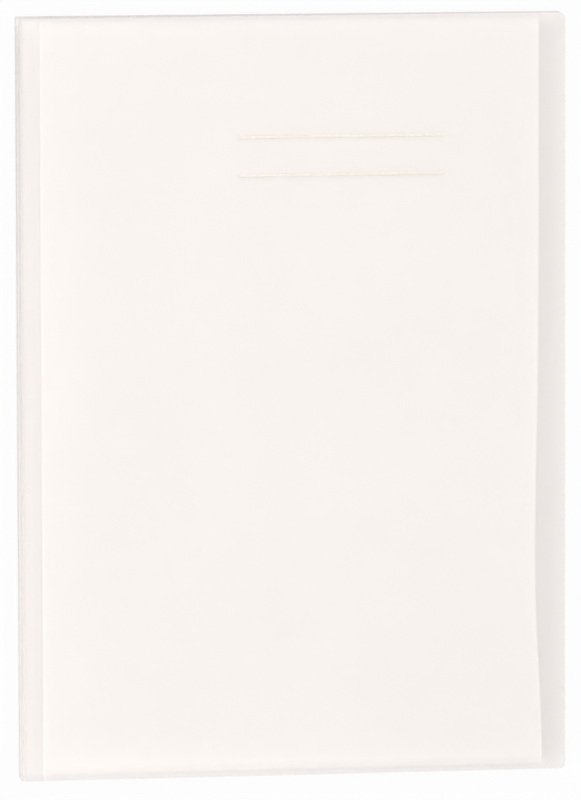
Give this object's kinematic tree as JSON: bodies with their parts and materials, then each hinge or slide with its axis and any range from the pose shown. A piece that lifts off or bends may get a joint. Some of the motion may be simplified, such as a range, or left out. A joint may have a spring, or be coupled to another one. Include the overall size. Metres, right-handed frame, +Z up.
{
  "type": "clear pocket display book",
  "caption": "Portrait display book: a frosted, creased plastic cover around clear film pockets that open at the head and are welded to a strip inside the spine.",
  "frame": {"origin": "on the table, under the middle of the closed book", "axes": "+X from the spine to the fore edge, +Y to the open ends of the pockets, +Z up out of the front cover"},
  "size_m": [0.23, 0.318, 0.0168],
  "materials": {
    "cover": "frosted see-through polypropylene",
    "film": "clear, slightly hazy polypropylene film",
    "binding": "milky polypropylene"
  },
  "bodies": {
    "back": {"back_cover": "cover", "back_hinge_strip": "cover"},
    "spine": {"spine": "cover", "binding_strip": "binding"},
    "front_strip": {"front_hinge_strip": "cover"},
    "front": {"front_cover": "cover"},
    "pocket_01": {"pocket_01": "film"},
    "pocket_02": {"pocket_02": "film"},
    "pocket_03": {"pocket_03": "film"},
    "pocket_04": {"pocket_04": "film"},
    "pocket_05": {"pocket_05": "film"},
    "pocket_06": {"pocket_06": "film"},
    "pocket_07": {"pocket_07": "film"},
    "pocket_08": {"pocket_08": "film"},
    "pocket_09": {"pocket_09": "film"},
    "pocket_10": {"pocket_10": "film"},
    "pocket_11": {"pocket_11": "film"},
    "pocket_12": {"pocket_12": "film"},
    "pocket_13": {"pocket_13": "film"},
    "pocket_14": {"pocket_14": "film"},
    "pocket_15": {"pocket_15": "film"},
    "pocket_16": {"pocket_16": "film"},
    "pocket_17": {"pocket_17": "film"},
    "pocket_18": {"pocket_18": "film"},
    "pocket_19": {"pocket_19": "film"},
    "pocket_20": {"pocket_20": "film"}
  },
  "joints": [
    {"name": "spine_fold", "type": "hinge", "parent": "back", "child": "spine", "pos_m": [-0.1146, 0, 0.0004], "axis": [0, -1, 0], "range_deg": [0, 86]},
    {"name": "front_fold", "type": "hinge", "parent": "spine", "child": "front_strip", "pos_m": [-0.1146, 0, 0.01643], "axis": [0, -1, 0], "range_deg": [0, 101.48]},
    {"name": "front_crease", "type": "hinge", "parent": "front_strip", "child": "front", "pos_m": [-0.106, 0, 0.01643], "axis": [0, -1, 0], "range_deg": [-5.42, 0]},
    {"name": "pocket_01_turn", "type": "hinge", "parent": "spine", "child": "pocket_01", "pos_m": [-0.1135, 0, 0.01554], "axis": [0, -1, 0], "range_deg": [0, 81.07]},
    {"name": "pocket_02_turn", "type": "hinge", "parent": "spine", "child": "pocket_02", "pos_m": [-0.1135, 0, 0.01479], "axis": [0, -1, 0], "range_deg": [0, 77.74]},
    {"name": "pocket_03_turn", "type": "hinge", "parent": "spine", "child": "pocket_03", "pos_m": [-0.1135, 0, 0.01404], "axis": [0, -1, 0], "range_deg": [0, 74.41]},
    {"name": "pocket_04_turn", "type": "hinge", "parent": "spine", "child": "pocket_04", "pos_m": [-0.1135, 0, 0.01329], "axis": [0, -1, 0], "range_deg": [0, 71.08]},
    {"name": "pocket_05_turn", "type": "hinge", "parent": "spine", "child": "pocket_05", "pos_m": [-0.1135, 0, 0.01254], "axis": [0, -1, 0], "range_deg": [0, 67.74]},
    {"name": "pocket_06_turn", "type": "hinge", "parent": "spine", "child": "pocket_06", "pos_m": [-0.1135, 0, 0.01179], "axis": [0, -1, 0], "range_deg": [0, 64.41]},
    {"name": "pocket_07_turn", "type": "hinge", "parent": "spine", "child": "pocket_07", "pos_m": [-0.1135, 0, 0.01104], "axis": [0, -1, 0], "range_deg": [0, 61.08]},
    {"name": "pocket_08_turn", "type": "hinge", "parent": "spine", "child": "pocket_08", "pos_m": [-0.1135, 0, 0.01029], "axis": [0, -1, 0], "range_deg": [0, 57.75]},
    {"name": "pocket_09_turn", "type": "hinge", "parent": "spine", "child": "pocket_09", "pos_m": [-0.1135, 0, 0.00954], "axis": [0, -1, 0], "range_deg": [0, 54.42]},
    {"name": "pocket_10_turn", "type": "hinge", "parent": "spine", "child": "pocket_10", "pos_m": [-0.1135, 0, 0.00879], "axis": [0, -1, 0], "range_deg": [0, 51.09]},
    {"name": "pocket_11_turn", "type": "hinge", "parent": "spine", "child": "pocket_11", "pos_m": [-0.1135, 0, 0.00804], "axis": [0, -1, 0], "range_deg": [-49.04, 0]},
    {"name": "pocket_12_turn", "type": "hinge", "parent": "spine", "child": "pocket_12", "pos_m": [-0.1135, 0, 0.00729], "axis": [0, -1, 0], "range_deg": [-52.37, 0]},
    {"name": "pocket_13_turn", "type": "hinge", "parent": "spine", "child": "pocket_13", "pos_m": [-0.1135, 0, 0.00654], "axis": [0, -1, 0], "range_deg": [-55.7, 0]},
    {"name": "pocket_14_turn", "type": "hinge", "parent": "spine", "child": "pocket_14", "pos_m": [-0.1135, 0, 0.00579], "axis": [0, -1, 0], "range_deg": [-59.03, 0]},
    {"name": "pocket_15_turn", "type": "hinge", "parent": "spine", "child": "pocket_15", "pos_m": [-0.1135, 0, 0.00504], "axis": [0, -1, 0], "range_deg": [-62.36, 0]},
    {"name": "pocket_16_turn", "type": "hinge", "parent": "spine", "child": "pocket_16", "pos_m": [-0.1135, 0, 0.00429], "axis": [0, -1, 0], "range_deg": [-65.69, 0]},
    {"name": "pocket_17_turn", "type": "hinge", "parent": "spine", "child": "pocket_17", "pos_m": [-0.1135, 0, 0.00354], "axis": [0, -1, 0], "range_deg": [-69.02, 0]},
    {"name": "pocket_18_turn", "type": "hinge", "parent": "spine", "child": "pocket_18", "pos_m": [-0.1135, 0, 0.00279], "axis": [0, -1, 0], "range_deg": [-72.35, 0]},
    {"name": "pocket_19_turn", "type": "hinge", "parent": "spine", "child": "pocket_19", "pos_m": [-0.1135, 0, 0.00204], "axis": [0, -1, 0], "range_deg": [-75.68, 0]},
    {"name": "pocket_20_turn", "type": "hinge", "parent": "spine", "child": "pocket_20", "pos_m": [-0.1135, 0, 0.00129], "axis": [0, -1, 0], "range_deg": [-79.01, 0]}
  ],
  "couplings": [
    {"joint": "front_fold", "follows": "spine_fold", "ratio": 1.1799},
    {"joint": "front_crease", "follows": "spine_fold", "ratio": -0.06296},
    {"joint": "pocket_01_turn", "follows": "spine_fold", "ratio": 0.94252},
    {"joint": "pocket_02_turn", "follows": "spine_fold", "ratio": 0.90379},
    {"joint": "pocket_03_turn", "follows": "spine_fold", "ratio": 0.86506},
    {"joint": "pocket_04_turn", "follows": "spine_fold", "ratio": 0.82634},
    {"joint": "pocket_05_turn", "follows": "spine_fold", "ratio": 0.78761},
    {"joint": "pocket_06_turn", "follows": "spine_fold", "ratio": 0.74888},
    {"joint": "pocket_07_turn", "follows": "spine_fold", "ratio": 0.71016},
    {"joint": "pocket_08_turn", "follows": "spine_fold", "ratio": 0.67143},
    {"joint": "pocket_09_turn", "follows": "spine_fold", "ratio": 0.6327},
    {"joint": "pocket_10_turn", "follows": "spine_fold", "ratio": 0.59398},
    {"joint": "pocket_11_turn", "follows": "spine_fold", "ratio": -0.57007},
    {"joint": "pocket_12_turn", "follows": "spine_fold", "ratio": -0.6088},
    {"joint": "pocket_13_turn", "follows": "spine_fold", "ratio": -0.64752},
    {"joint": "pocket_14_turn", "follows": "spine_fold", "ratio": -0.68625},
    {"joint": "pocket_15_turn", "follows": "spine_fold", "ratio": -0.72498},
    {"joint": "pocket_16_turn", "follows": "spine_fold", "ratio": -0.7637},
    {"joint": "pocket_17_turn", "follows": "spine_fold", "ratio": -0.80243},
    {"joint": "pocket_18_turn", "follows": "spine_fold", "ratio": -0.84115},
    {"joint": "pocket_19_turn", "follows": "spine_fold", "ratio": -0.87988},
    {"joint": "pocket_20_turn", "follows": "spine_fold", "ratio": -0.91861}
  ]
}
